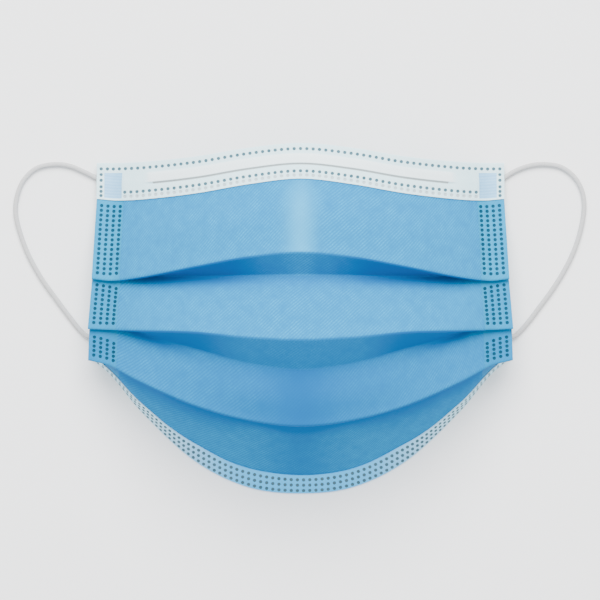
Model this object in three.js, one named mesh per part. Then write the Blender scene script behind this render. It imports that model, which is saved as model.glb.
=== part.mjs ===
// A pleated disposable face mask, opened to the shape it is worn in and lying face up.
//
// Millimetres. +Z is up, away from the wearer's face, +Y points to the nose edge and +X to the side that
// is on the right in a front view. The origin is under the middle of the mask, on the surface it lies on.
import * as THREE from 'three';

// Cloth and clearances
const cloth = 1.0;
const clearance = 0.3;
const layerPitch = cloth + clearance;

// White bindings, folded over the nose edge and the chin edge. Towards the seams the panels under them
// get lower than a binding is wide, so it ends short of the top one's edge and the chin one's crease.
const bindingWidth = 12;
const topBindingMost = 0.96;
const chinBindingFirst = 0.12;

// Nose wire, a flat strip inside the top binding
const wireWidth = 3;
const wireThickness = 1.0;
const wireBelowEdge = 3.7;
const wireReach = 0.723;

// The sheet's own edges lie inside the bindings, below the nose wire and above the sole
const bodyBelowEdge = wireBelowEdge + wireWidth + 0.5;
const bodyAboveSole = 3.4;

// How far the open panels bow out of straight at the middle of the mask
const panelBow = { upper: 1.6, second: 1.0, third: 0.8, chin: -0.5 };

// Ear loops and their flattened, welded ends
const loopDiameter = 1.8;
const loopSides = 8;
const loopSteps = 44;
const anchor = { width: 6.3, length: 8.4, thickness: 1.8, hollow: 0.4 };
const topAnchorAt = { x: 65.3, y: 46.5 };
const bottomAnchorAt = { reach: 0.93, down: 0.5 };

// Sections across the mask, from seam to seam
const sectionCount = 41;
const wireSectionCount = 21;

// Lines that run across the cloth, in order from the nose edge to the chin edge. station is the share of
// the way from the middle of the mask to its side seam. halfWidth is the distance of the line's end from
// the middle, and each y and z has one value for a station.
const station = [0, 0.25, 0.5, 0.75, 0.9, 1];
const lines = {
  noseEdge: {
    halfWidth: 71.2,
    y: [60.6, 59.0, 56.2, 54.5, 54.1, 54.1],
    z: [40.0, 37.0, 27.5, 12.5, 4.6, 3.9],
  },
  bandEdge: {
    halfWidth: 71.2,
    y: [48.8, 46.9, 43.9, 42.0, 41.7, 42.3],
    z: [43.8, 41.0, 32.0, 17.0, 6.2, 4.6],
  },
  ridge1: {
    halfWidth: 72.8,
    y: [23.3, 21.7, 18.7, 15.4, 13.7, 14.3],
    z: [52.0, 49.5, 42.0, 29.0, 18.5, 15.0],
  },
  valley1: {
    halfWidth: 70.3,
    y: [15.4, 15.1, 14.9, 16.2, 21.6, 23.4],
    z: [44.5, 42.0, 34.5, 22.0, 12.9, 9.8],
  },
  ridge2: {
    halfWidth: 74.1,
    y: [-6.8, -6.0, -4.3, -3.9, -3.7, -3.3],
    z: [56.0, 53.5, 46.0, 32.5, 21.0, 17.0],
  },
  valley2: {
    halfWidth: 72.2,
    y: [-17.2, -15.1, -10.2, -4.6, 3.2, 5.6],
    z: [46.0, 44.0, 37.5, 26.0, 16.2, 12.4],
  },
  ridge3: {
    halfWidth: 74.0,
    y: [-36.8, -35.0, -30.3, -22.4, -16.5, -14.2],
    z: [42.0, 40.6, 36.4, 27.8, 18.6, 14.5],
  },
  valley3: {
    halfWidth: 71.5,
    y: [-40.2, -38.4, -32.9, -22.8, -11.5, -7.0],
    z: [32.5, 31.2, 27.0, 20.6, 14.2, 11.5],
  },
  chinEdge: {
    halfWidth: 72.5,
    y: [-59.1, -56.9, -47.9, -31.0, -17.0, -11.6],
    z: [0, 0, 0, 0, 0, 0],
  },
};

// Routes of the ear loops on the surface, from the top anchor to the bottom anchor
const loopHeight = loopDiameter / 2;
const leftRoute = [
  [-69.2, 48.0, loopHeight],
  [-71.2, 49.2, loopHeight],
  [-75.8, 51.5, loopHeight],
  [-80.7, 53.5, loopHeight],
  [-86.0, 54.1, loopHeight],
  [-92.4, 52.7, loopHeight],
  [-97.1, 48.2, loopHeight],
  [-99.4, 41.8, loopHeight],
  [-99.6, 36.6, loopHeight],
  [-98.3, 30.8, loopHeight],
  [-95.4, 22.9, loopHeight],
  [-90.7, 14.3, loopHeight],
  [-85.7, 7.3, loopHeight],
  [-80.7, 0.6, loopHeight],
  [-77.2, -3.8, loopHeight],
  [-74.6, -6.0, 1.3],
  [-72.2, -6.0, 2.6],
  [-70.0, -6.4, 3.9],
  [-68.0, -7.9, 4.6],
];
const rightRoute = [
  [69.25, 48.0, loopHeight],
  [71.2, 49.4, loopHeight],
  [75.8, 52.1, loopHeight],
  [81.0, 53.8, loopHeight],
  [86.2, 54.1, loopHeight],
  [91.2, 53.1, loopHeight],
  [95.4, 50.1, loopHeight],
  [98.2, 45.6, loopHeight],
  [99.2, 40.3, loopHeight],
  [98.6, 34.0, loopHeight],
  [96.6, 26.4, loopHeight],
  [93.6, 19.4, loopHeight],
  [88.6, 11.0, loopHeight],
  [83.6, 4.2, loopHeight],
  [80.0, -0.6, loopHeight],
  [77.1, -4.0, loopHeight],
  [74.6, -6.0, 1.3],
  [72.2, -6.0, 2.6],
  [70.0, -6.4, 3.9],
  [68.0, -7.9, 4.6],
];

// Materials
function material(colour, roughness) {
  return new THREE.MeshStandardMaterial({ color: colour, roughness, metalness: 0 });
}
const blueCloth = () => material(0x5fb9ec, 0.85);
const whiteCloth = () => material(0xe6f6f8, 0.85);
const wirePlastic = () => material(0xf2f4f4, 0.5);
const loopElastic = () => material(0xe4e2e3, 0.9);

// Value of a list at a place between its stations, on a smooth curve that is level at the middle
function smoothAt(values, place) {
  const u = Math.min(Math.abs(place), 1);
  const last = station.length - 1;
  let i = 0;
  while (i < last - 1 && u > station[i + 1]) i += 1;
  const slope = (k) => {
    if (k === 0) return 0;
    const next = Math.min(k + 1, last);
    return (values[next] - values[k - 1]) / (station[next] - station[k - 1]);
  };
  const span = station[i + 1] - station[i];
  const t = (u - station[i]) / span;
  const back = 1 - t;
  const start = back * back * ((1 + 2 * t) * values[i] + t * span * slope(i));
  const end = t * t * ((1 + 2 * back) * values[i + 1] - back * span * slope(i + 1));
  return start + end;
}

// A point of a line across the cloth
function linePoint(line, u) {
  return { x: u * line.halfWidth, y: smoothAt(line.y, u), z: smoothAt(line.z, u) };
}

function mix(a, b, share) {
  return { x: a.x + (b.x - a.x) * share, y: a.y + (b.y - a.y) * share, z: a.z + (b.z - a.z) * share };
}

// Sections lie in planes across the mask, so lengths and normals in them leave x out. A normal points out
// of the front of the cloth where the cloth runs from the nose edge to the chin edge.
function length(a, b) {
  return Math.hypot(b.y - a.y, b.z - a.z);
}

function normal(a, b) {
  return { y: (b.z - a.z) / length(a, b), z: -(b.y - a.y) / length(a, b) };
}

// A point on a panel between two edges, bowed out of the straight line by rise, or at an offset in front
function onPanel(a, b, share, rise = 0, offset = 0) {
  const p = mix(a, b, share);
  const n = normal(a, b);
  const lift = 4 * share * (1 - share) * rise;
  const tilt = Math.atan(4 * (1 - 2 * share) * rise / length(a, b));
  const front = {
    y: n.y * Math.cos(tilt) + n.z * Math.sin(tilt),
    z: n.z * Math.cos(tilt) - n.y * Math.sin(tilt),
  };
  return { x: p.x, y: p.y + lift * n.y + offset * front.y, z: p.z + lift * n.z + offset * front.z };
}

// How much wider a wall is in the section plane than it truly is, because the cloth leans along x there
function lean(n, here, near) {
  const slopeY = (near.y - here.y) / (near.x - here.x);
  const slopeZ = (near.z - here.z) / (near.x - here.x);
  return Math.hypot(1, n.y * slopeY + n.z * slopeZ);
}

function nearby(u) {
  const step = 0.02;
  return u > 0 ? u - step : u + step;
}

// A point at a true distance in front of a panel. panel gives its two edges and its bow in a section.
function inFront(panel, u, share, distance) {
  const here = panel(u);
  const near = panel(nearby(u));
  const p = onPanel(here.top, here.edge, share, here.rise);
  const q = onPanel(near.top, near.edge, share, near.rise);
  const wider = lean(normal(here.top, here.edge), p, q);
  return onPanel(here.top, here.edge, share, here.rise, distance * wider);
}

// Distance between folded layers in the section plane
function layerStep(u) {
  const here = linePoint(lines.ridge2, u);
  return layerPitch * lean({ y: 0, z: 1 }, here, linePoint(lines.ridge2, nearby(u)));
}

// A crease is two corners one layer apart. turn is 1 at a ridge and -1 at a valley.
function crease(before, at, after, turn, pitch) {
  const arriving = Math.atan2(at.z - before.z, at.y - before.y);
  const leaving = Math.atan2(after.z - at.z, after.y - at.y);
  const full = 2 * Math.PI;
  const bend = (((leaving - arriving) * turn) % full + full) % full;
  const heading = arriving + turn * bend / 2;
  const stepY = Math.cos(heading) * pitch / 2;
  const stepZ = Math.sin(heading) * pitch / 2;
  return [
    { x: at.x, y: at.y - stepY, z: at.z - stepZ },
    { x: at.x, y: at.y + stepY, z: at.z + stepZ },
  ];
}

// The nose panel is the stretch of the cloth under the top binding
function nosePanel(u) {
  return { top: linePoint(lines.noseEdge, u), edge: linePoint(lines.bandEdge, u), rise: 0 };
}

// The chin panel runs from the last crease to the sole of the chin binding, which covers its lower part
function chinPanel(u) {
  const before = linePoint(lines.ridge3, u);
  const at = linePoint(lines.valley3, u);
  const edge = linePoint(lines.chinEdge, u);
  const [, top] = crease(before, at, edge, -1, layerStep(u));
  const bindingStart = Math.max(1 - bindingWidth / length(top, edge), chinBindingFirst);
  return { top, edge, bindingStart, rise: panelBow.chin * (1 - u * u) };
}

// Middle line of the pleated sheet in one section, from the nose edge to the chin edge
function bodySection(u) {
  const at = Object.fromEntries(Object.entries(lines).map(([name, line]) => [name, linePoint(line, u)]));
  const open = 1 - u * u;
  const pitch = layerStep(u);
  const [r1a, r1b] = crease(at.bandEdge, at.ridge1, at.valley1, 1, pitch);
  const [v1a, v1b] = crease(at.ridge1, at.valley1, at.ridge2, -1, pitch);
  const [r2a, r2b] = crease(at.valley1, at.ridge2, at.valley2, 1, pitch);
  const [v2a, v2b] = crease(at.ridge2, at.valley2, at.ridge3, -1, pitch);
  const [r3a, r3b] = crease(at.valley2, at.ridge3, at.valley3, 1, pitch);
  const [v3a] = crease(at.ridge3, at.valley3, at.chinEdge, -1, pitch);
  const chin = chinPanel(u);
  const onChin = (share) => onPanel(chin.top, chin.edge, share, chin.rise);
  const bindingMiddle = (1 + chin.bindingStart) / 2;
  const lowest = 1 - bodyAboveSole / length(chin.top, chin.edge);
  return [
    mix(at.noseEdge, at.bandEdge, bodyBelowEdge / length(at.noseEdge, at.bandEdge)),
    at.bandEdge,
    onPanel(at.bandEdge, r1a, 0.35, panelBow.upper * open),
    onPanel(at.bandEdge, r1a, 0.7, panelBow.upper * open),
    r1a, r1b, v1a, v1b,
    onPanel(v1b, r2a, 0.5, panelBow.second * open),
    r2a, r2b, v2a, v2b,
    onPanel(v2b, r3a, 0.5, panelBow.third * open),
    r3a, r3b, v3a, chin.top,
    onChin(chin.bindingStart / 2),
    onChin(chin.bindingStart),
    onChin(bindingMiddle),
    onChin(lowest),
  ];
}

// The top binding from its back leg over the nose edge to its front leg
function topBindingSection(u) {
  const nose = nosePanel(u);
  const fold = cloth / 2 / length(nose.top, nose.edge);
  const hem = Math.min(bindingWidth / length(nose.top, nose.edge), topBindingMost);
  return [
    inFront(nosePanel, u, hem, -layerPitch),
    inFront(nosePanel, u, fold, -layerPitch),
    inFront(nosePanel, u, fold, layerPitch),
    inFront(nosePanel, u, hem, layerPitch),
  ];
}

// The chin binding from its front leg to its back leg, with a flat sole on the surface
function bottomBindingSection(u) {
  const { bindingStart } = chinPanel(u);
  const leg = (share, side) => inFront(chinPanel, u, share, side * layerPitch);
  const middle = (1 + bindingStart) / 2;
  const foot = (side) => {
    const above = leg(middle, side);
    const end = leg(1, side);
    return mix(above, end, (above.z - cloth / 2) / (above.z - end.z));
  };
  return [leg(bindingStart, 1), leg(middle, 1), foot(1), foot(-1), leg(middle, -1), leg(bindingStart, -1)];
}

// The nose wire, flat between the legs of the top binding and above the edge of the sheet
function noseWireSection(u) {
  const { top, edge } = nosePanel(u);
  const start = wireBelowEdge / length(top, edge);
  const end = (wireBelowEdge + wireWidth) / length(top, edge);
  return [mix(top, edge, start), mix(top, edge, end)];
}

// Both faces of a wall round a middle line in one section, with mitred corners. What meets the surface
// is flattened on it.
function wallFaces(sectionAt, u, thickness) {
  const line = sectionAt(u);
  const near = sectionAt(nearby(u));
  const front = [];
  const back = [];
  line.forEach((p, i) => {
    const before = normal(line[Math.max(i - 1, 0)], line[Math.max(i, 1)]);
    const after = normal(line[Math.min(i, line.length - 2)], line[Math.min(i + 1, line.length - 1)]);
    const mitre = 1 / (1 + before.y * after.y + before.z * after.z);
    const n = { y: (before.y + after.y) * mitre, z: (before.z + after.z) * mitre };
    const size = Math.hypot(n.y, n.z);
    const half = thickness / 2 * lean({ y: n.y / size, z: n.z / size }, p, near[i]);
    front.push([p.x, p.y + n.y * half, Math.max(p.z + n.z * half, 0)]);
    back.push([p.x, p.y - n.y * half, Math.max(p.z - n.z * half, 0)]);
  });
  return [...front, ...back.reverse()];
}

// A closed solid through rings of points, one ring for a section, all with the same number of points.
// Each ring is the front of a wall followed by its back in reverse, so an end is closed between the two.
function loft(rings) {
  const size = rings[0].length;
  const index = [];
  const corner = (ring, k) => ring * size + (k % size);
  for (let ring = 0; ring + 1 < rings.length; ring += 1) {
    for (let k = 0; k < size; k += 1) {
      const a = corner(ring, k);
      const b = corner(ring, k + 1);
      const c = corner(ring + 1, k + 1);
      const d = corner(ring + 1, k);
      index.push(a, b, c, a, c, d);
    }
  }
  const last = rings.length - 1;
  for (let k = 0; k + 1 < size / 2; k += 1) {
    const mate = size - 1 - k;
    index.push(corner(0, k), corner(0, mate), corner(0, mate - 1));
    index.push(corner(0, k), corner(0, mate - 1), corner(0, k + 1));
    index.push(corner(last, k), corner(last, mate - 1), corner(last, mate));
    index.push(corner(last, k), corner(last, k + 1), corner(last, mate - 1));
  }
  const geometry = new THREE.BufferGeometry();
  geometry.setAttribute('position', new THREE.Float32BufferAttribute(rings.flat(2), 3));
  geometry.setIndex(index);
  geometry.computeVertexNormals();
  return geometry;
}

function wallSolid(reach, count, sectionAt, thickness) {
  const across = Array.from({ length: count }, (unused, i) => reach * (2 * i / (count - 1) - 1));
  return loft(across.map((u) => wallFaces(sectionAt, u, thickness)));
}

// An ear loop, a tube along its route
function loopTube(route) {
  const path = new THREE.CatmullRomCurve3(route.map((p) => new THREE.Vector3(...p)), false, 'centripetal');
  const corners = Array.from({ length: loopSides }, (unused, i) => {
    const turn = 2 * Math.PI * (i + 0.5) / loopSides;
    return new THREE.Vector2(loopDiameter / 2 * Math.cos(turn), loopDiameter / 2 * Math.sin(turn));
  });
  const section = new THREE.Shape(corners);
  return new THREE.ExtrudeGeometry(section, { steps: loopSteps, extrudePath: path, bevelEnabled: false });
}

function mesh(name, geometry, look) {
  const made = new THREE.Mesh(geometry, look);
  made.name = name;
  return made;
}

function anchorMesh(name) {
  const size = [anchor.width, anchor.length, anchor.thickness];
  return mesh(name, new THREE.BoxGeometry(...size), loopElastic());
}

// A welded loop end lies flat on the surface, under the corner of the nose edge
function topAnchor(name, side) {
  const made = anchorMesh(name);
  made.position.set(side * topAnchorAt.x, topAnchorAt.y, anchor.thickness / 2);
  return made;
}

// At the chin end the loop is welded to the inner face of the chin binding, and turns with it
function bottomAnchor(name, side) {
  const { reach, down } = bottomAnchorAt;
  const onBinding = (u, share) => {
    const chin = chinPanel(u);
    const p = onPanel(chin.top, chin.edge, share, chin.rise);
    return new THREE.Vector3(side * p.x, p.y, p.z);
  };
  const centre = onBinding(reach, down);
  const across = onBinding(nearby(reach), down).sub(centre).normalize();
  const upwards = onBinding(reach, down - 0.1).sub(centre);
  upwards.addScaledVector(across, -upwards.dot(across)).normalize();
  const inwards = new THREE.Vector3().crossVectors(across, upwards).multiplyScalar(side);
  const made = anchorMesh(name);
  made.quaternion.setFromRotationMatrix(
    new THREE.Matrix4().makeBasis(across, upwards, new THREE.Vector3().crossVectors(across, upwards)),
  );
  const behind = layerPitch + cloth / 2 + clearance + anchor.hollow + anchor.thickness / 2;
  made.position.copy(centre).addScaledVector(inwards, behind);
  return made;
}

const mask = new THREE.Group();
mask.add(mesh('mask_body', wallSolid(1, sectionCount, bodySection, cloth), blueCloth()));
mask.add(mesh('top_binding', wallSolid(1, sectionCount, topBindingSection, cloth), whiteCloth()));
mask.add(mesh('nose_wire', wallSolid(wireReach, wireSectionCount, noseWireSection, wireThickness), wirePlastic()));
mask.add(mesh('bottom_binding', wallSolid(1, sectionCount, bottomBindingSection, cloth), whiteCloth()));
mask.add(mesh('ear_loop_left', loopTube(leftRoute), loopElastic()));
mask.add(mesh('ear_loop_right', loopTube(rightRoute), loopElastic()));
mask.add(topAnchor('loop_anchor_top_left', -1));
mask.add(topAnchor('loop_anchor_top_right', 1));
mask.add(bottomAnchor('loop_anchor_bottom_left', -1));
mask.add(bottomAnchor('loop_anchor_bottom_right', 1));

export default mask;
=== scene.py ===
"""A pleated face mask, opened to the shape it is worn in and lying face up on a pale floor.

Sizes are in millimetres, as a pattern gives them, and MM turns them into metres where an object is made.
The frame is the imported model's: +Z is up, +Y points to the nose edge and +X to the right in a front view.
"""
import math

import bpy
import numpy as np
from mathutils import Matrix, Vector


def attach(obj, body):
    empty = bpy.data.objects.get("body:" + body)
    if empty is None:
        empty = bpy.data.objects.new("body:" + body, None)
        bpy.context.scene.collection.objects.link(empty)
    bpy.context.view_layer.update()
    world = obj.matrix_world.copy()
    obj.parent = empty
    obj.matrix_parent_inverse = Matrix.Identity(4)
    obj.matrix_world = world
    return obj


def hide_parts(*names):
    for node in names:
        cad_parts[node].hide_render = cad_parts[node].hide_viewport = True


MM = 0.001

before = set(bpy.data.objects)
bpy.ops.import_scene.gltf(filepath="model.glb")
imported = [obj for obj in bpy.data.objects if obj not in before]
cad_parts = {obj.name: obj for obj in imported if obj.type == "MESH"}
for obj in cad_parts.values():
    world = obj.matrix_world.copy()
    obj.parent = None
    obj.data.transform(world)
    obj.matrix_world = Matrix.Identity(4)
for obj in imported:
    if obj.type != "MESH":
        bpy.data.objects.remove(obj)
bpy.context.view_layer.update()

# Camera, straight above the mask with a long lens. The photograph's frame is square.
FRAME_WIDTH = 210.0
FRAME_CENTRE = (-0.175, 6.65)
CAMERA_HEIGHT = 4000.0
SENSOR_WIDTH = 36.0

# Light and floor. The key light stands beyond the nose edge, and its place, size and target are in metres.
KEY_LIGHT = dict(place=(0.0, 1.0, 1.3), target=(0, 0, 0.02), size=1.4, power=75.0)
SKY = dict(colour=(0.96, 0.98, 1.0, 1), strength=1.5)
FLOOR_REACH = 3000.0

# Ear loops: round elastic cord, and its route on the floor from the nose corner down, x counted outwards. The
# last stretch up to the chin strip is the same on both sides.
LOOP_DIAMETER = 1.8
ROUTE_STEP = 0.3
KNIT = dict(sides=16, pitch=0.95, depth=0.07)
LEFT_ROUTE = [
    (69.2, 48.0), (71.2, 49.2), (75.8, 51.5), (80.7, 53.5), (86.0, 54.1), (92.4, 52.7), (97.1, 48.2),
    (99.4, 41.8), (99.6, 36.6), (98.3, 30.8), (95.4, 22.9), (90.7, 14.3), (85.7, 7.3), (80.7, 0.6),
    (77.2, -3.8),
]
RIGHT_ROUTE = [
    (69.25, 48.0), (71.2, 49.4), (75.8, 52.1), (81.0, 53.8), (86.2, 54.1), (91.2, 53.1), (95.4, 50.1),
    (98.2, 45.6), (99.2, 40.3), (98.6, 34.0), (96.6, 26.4), (93.6, 19.4), (88.6, 11.0), (83.6, 4.2),
    (80.0, -0.6), (77.1, -4.0),
]
ROUTE_END = [(74.6, -6.0, 1.3), (72.2, -6.0, 2.6), (70.0, -6.4, 3.9), (68.0, -7.9, 4.6)]

# Cloth: the pleated sheet of three layers, thinner under the nose strip, the binding strips, the pitch of
# layers pressed together, and the air between pieces that touch
SHEET = 0.5
UNDER_STRIP = 0.3
STRIP = 0.3
FOLD_PITCH = 0.74
SLACK = 0.04

# Lines that run across the cloth, in order from the nose edge to the chin edge. Each has the distance of its
# end from the middle, and then y and z at each station, a share of the way from the middle to the side seam.
STATION = np.array([0, 0.25, 0.5, 0.75, 0.9, 1])
LINES = {
    "nose_edge": (71.2, [60.75, 59.15, 56.35, 54.65, 54.25, 54.25], [40.0, 37.0, 27.5, 11.5, 3.0, 2.35]),
    "band_edge": (71.2, [48.8, 46.9, 43.9, 42.0, 41.7, 42.3], [43.8, 41.0, 32.0, 16.0, 4.6, 2.8]),
    "ridge_1": (72.8, [23.3, 21.7, 18.4, 14.8, 13.4, 14.1], [52.0, 49.5, 42.0, 28.0, 16.6, 13.2]),
    "valley_1": (71.9, [15.4, 15.1, 14.9, 16.2, 21.6, 23.4], [44.5, 42.0, 34.5, 21.5, 12.2, 9.0]),
    "ridge_2": (74.1, [-6.8, -6.0, -4.3, -3.9, -3.7, -3.3], [56.0, 53.5, 46.0, 31.8, 18.8, 15.2]),
    "valley_2": (73.3, [-17.2, -15.1, -10.2, -4.6, 3.2, 5.6], [46.0, 44.0, 37.5, 25.8, 15.9, 12.1]),
    "ridge_3": (74.0, [-36.8, -34.7, -29.6, -21.7, -16.1, -14.2], [42.0, 40.6, 36.4, 27.6, 18.2, 14.5]),
    "valley_3": (72.9, [-36.2, -34.1, -28.9, -20.7, -13.0, -7.6], [32.5, 31.2, 27.0, 21.2, 16.3, 12.4]),
    "chin_edge": (72.5, [-59.1, -56.9, -47.9, -31.2, -18.2, -12.2], [0.6, 0.6, 0.6, 0.6, 0.6, 0.6]),
}
HALF_WIDTH = LINES["ridge_2"][0]
NOSE_HALF_WIDTH = LINES["nose_edge"][0]

# Folds, and the stretches of cloth between them. A back is the return of a pleat, behind its lip.
FOLDS = ["ridge_1", "valley_1", "ridge_2", "valley_2", "ridge_3", "valley_3"]
STRETCHES = ["upper", "back", "second", "back", "third", "back", "chin"]

# Cells down what the nose strip covers of the sheet, down each stretch, down each half of a fold, and round
# the folded edge of a strip
CELLS = dict(under_band=5, upper=33, second=31, third=24, back=9, chin=30, fold=4, strip_fold=6)

# The chin edge lies further out than its line, and the sheet ends inside the chin strip, above that edge.
CHIN_EDGE_OUT = 1.3
CHIN_INSIDE = 2.0

# How far each panel bows out at its middle, the height, length and start of the slow swells across it, and
# how the last panel bulges over its strip between shares of the way to the seam
PANEL_BOW = dict(upper=1.5, second=1.1, third=0.9, chin=-0.4)
SWELL = [(0.22, 41.0, 0.6), (0.14, 23.0, 2.1)]
CHIN_BULGE = dict(rise=1.5, places=(0.68, 0.84, 0.93, 1))

# Finish of the cloth: pitch of its rows of bond marks and of their dashes, how far apart the weave of two
# panels starts, and the width in metres of a band of a wave texture at scale 1
HATCH_PITCH = 0.92
HATCH_DASH = 1.3
PANEL_STEP = 50.0
WAVE_PERIOD = 0.3142

# Tone of the sheet: the painted highlight, a pale streak down its middle, and widths of the painted shade
# that deepens the middle of the lower panels, all as shares of the way to the seam. The margins deepen
# between two such shares.
PAINTED_STREAK = dict(pale=0.55, width=0.065)
SHADE_SPOT_WIDTH = 0.16
SHADE_MIDDLE_WIDTH = 0.5
MARGIN_TONE = dict(start=0.878, end=0.884)

# Weld dots: round pits in the cloth. Pitch is across the mask, and a grid cell is half of it. A dot takes at
# most DOT_ROOM of its cells, and on a slope it is at most DOT_STRETCH times its radius long. The profile has
# the size and the depth of each ring, as shares.
DOT_PITCH = 2.3
DOT_RADIUS = 0.6
DOT_ROOM = 0.9
DOT_STRETCH = 1.6
DOT_SIDES = 16
DOT_PROFILE = [(1.0, 0.0), (0.84, 0.75), (0.55, 1.0)]
DOT_DEPTH = dict(sheet=0.16, strip=0.12)

# Welded side margins of the sheet: the columns of dots, the plain edge outside them, the step at their inner
# side and how far they are pressed. The rows of dots are counted in cells from the top of each panel.
MARGIN_COLUMNS = 4
MARGIN_EDGE = 0.75
MARGIN_STEP = 0.2
MARGIN_PRESS = 0.16
FRONT_ROWS = dict(upper=range(3, 32, 2), second=range(13, 30, 2), third=range(14, 23, 2))
BACK_ROWS = dict(upper=range(3, 20, 2), second=range(3, 20, 2), third=range(3, 14, 2))

# Nose strip: distances of its grid lines and dot rows from the folded edge, where the band's edge of the
# panel is at NOSE_PANEL. Its last stretch lifts off the sheet. STRIP_EDGE is the plain edge at the ends of
# both strips.
STRIP_EDGE = 0.4
TOP_DOT_PITCH = 2.17
NOSE_PANEL = 12.0
TOP_LINES = [
    0, 0.45, 1.1, 1.75, 2.4, 2.95, 3.11, 3.75, 4.35, 5.1, 5.75, 6.4, 6.55, 6.7, 6.85, 7.0, 7.35, 8.0,
    8.65, 8.95, 9.6, 10.32, 11.05, 11.7, 11.9, 12.3,
]
TOP_ROWS = [1.75, 9.6, 11.05]
TOP_END_ROWS = [3.75, 5.75, 8.0, 9.6, 11.05]
STRIP_LIFT = dict(start=11.4, end=12.3, height=0.14)

# Pressed patch over a loop's end, from one dot to another counted from the seam
PATCH = dict(near=1, far=4, step=0.16, top=3.11, bottom=11.7, depth=0.1)

# Nose wire: its place in the strip, and the pinched gap below it. The strip rises before the wire, falls
# after it to a short floor that carries a painted shadow line, and closes past its ends.
WIRE = dict(start=3.7, width=3.0, thickness=0.9, reach=51.5, gap=1.3)
# crease is the width of the painted shadow line below the wire
WIRE_FLANK = dict(before=0.6, rise=1.0, fall=0.3, floor=0.35, crease=0.65)
WIRE_END = dict(close=0.6, far=2.6)
# Painted highlight on the strip over the wire, and how far it fades at the wire's lower side
WIRE_HIGHLIGHT = dict(pale=0.5, fade=0.2)

# Section of the wire: three ribs with thin plastic between them, and rounded outer edges. Towards its ends it
# thins to these shares at these distances.
WIRE_RIB = dict(thin=0.45, power=0.7, rounding=8, edge=0.2)
WIRE_TIP = dict(distance=[0.9, 0.3, 0.0], share=[1, 0.85, 0.4])
WIRE_CELLS = dict(along=99, across=12)

# Chin strip: its height, which drops between two shares of the way to the seam, the most of the panel that it
# takes, its lines and dots as shares of the height, and how far the blue shows through it
CHIN_STRIP_HEIGHT = dict(middle=10.0, outer=6.0, start=0.42, end=0.74)
CHIN_STRIP_SHARE = dict(middle=0.88, seam=0.42, start=0.62)
CHIN_DOT_PITCH = 2.15
CHIN_LINES = [0, 0.015, 0.14, 0.265, 0.325, 0.45, 0.575, 0.635, 0.76, 0.885, 0.94, 1]
CHIN_ROWS = [0.14, 0.45, 0.76]
CHIN_SEE_THROUGH = dict(seam=0.12, more=0.8, width=0.6)

# Flattened end of a loop: its section, the gap to the strip, and how squared and ribbed it is. It flattens
# over a share of its join with the loop, widens from a share of that to a distance past it, and has a
# narrower tip.
TAIL = dict(width=4.2, thickness=0.7, sides=20, gap=0.12, power=0.6, rib=0.08, rib_pitch=1.1)
TAIL_JOIN = dict(steps=8, flat=0.9, widen=0.6, widening=2.4)
TAIL_TIP = dict(length=0.5, width=0.9)
FLOOR_GAP = 0.01

# Where a loop's end lies behind its strip: shares of the way to the seam, and heights in the strip's own
# measure. A normal is taken over step upwards and LANDING_ASIDE to both sides.
LANDING_POINTS = 12
LANDING_ASIDE = 0.004
TOP_LANDING = dict(start=66.6 / NOSE_HALF_WIDTH, end=62.2 / NOSE_HALF_WIDTH, height=(7.9, 9.6), step=0.2)
CHIN_LANDING = dict(start=0.955, end=0.895, height=(0.42, 0.50), step=0.02)

# Angle in degrees from which an edge is drawn sharp, and the tolerance where places are compared
SHARP_ANGLE = 62
NEAR = 0.01


# A line of points has a row for each place across the mask, from the left seam to the right one. A grid has
# such lines one below another.

def smooth_at(values, place):
    """Value of a row at shares of the way to the seam, on a smooth curve that is level at the middle."""
    values = np.array(values, float)
    share = np.minimum(np.abs(place), 1)
    slope = np.zeros(len(STATION))
    slope[1:-1] = (values[2:] - values[:-2]) / (STATION[2:] - STATION[:-2])
    slope[-1] = (values[-1] - values[-2]) / (STATION[-1] - STATION[-2])
    i = np.clip(np.searchsorted(STATION, share, side="right") - 1, 0, len(STATION) - 2)
    span = STATION[i + 1] - STATION[i]
    t = (share - STATION[i]) / span
    back = 1 - t
    start = back * back * ((1 + 2 * t) * values[i] + t * span * slope[i])
    end = t * t * ((1 + 2 * back) * values[i + 1] - back * span * slope[i + 1])
    return start + end


def line(name, u):
    """Points of a line across the cloth at shares u from the middle to the seams."""
    half_width, y, z = LINES[name]
    return np.stack([u * half_width, smooth_at(y, u), smooth_at(z, u)], axis=-1)


def unit(vectors):
    return vectors / np.linalg.norm(vectors, axis=-1, keepdims=True)


def smooth_step(value, start, end):
    t = np.clip((value - start) / (end - start), 0, 1)
    return t * t * (3 - 2 * t)


def hump(place, start, rise, fall, end):
    """1 between rise and fall, 0 before start and after end, on both sides of the middle."""
    place = np.abs(place)
    return smooth_step(place, start, rise) * (1 - smooth_step(place, fall, end))


def blend(a, b, share):
    return a + (b - a) * share


def within(values, low, high):
    return (values > low - NEAR) & (values < high + NEAR)


def cells_of(lines):
    """Cells that have both of their lines among the chosen ones."""
    return lines[:-1] & lines[1:]


def nearest(values, wanted):
    """Index of the value nearest to each wanted one."""
    return [int(np.argmin(np.abs(np.array(values) - w))) for w in wanted]


def panel_front(a, b):
    """Directions out of the front of a panel that runs down from a to b."""
    across = np.zeros_like(a)
    across[:, 0] = 1
    return unit(np.cross(unit(b - a), across))


def bow(share, rise):
    """A bow over a panel that is level at both ends and reaches rise at the middle."""
    return 16 * share ** 2 * (1 - share) ** 2 * rise


def spread(a, b, cells, rise=0.0):
    """Rows of points from a to b, bowed out of the straight line by rise."""
    share = np.linspace(0, 1, cells + 1)[:, None, None]
    rise = np.broadcast_to(rise, len(a))[:, None]
    return a + (b - a) * share + panel_front(a, b) * bow(share, rise)


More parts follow.
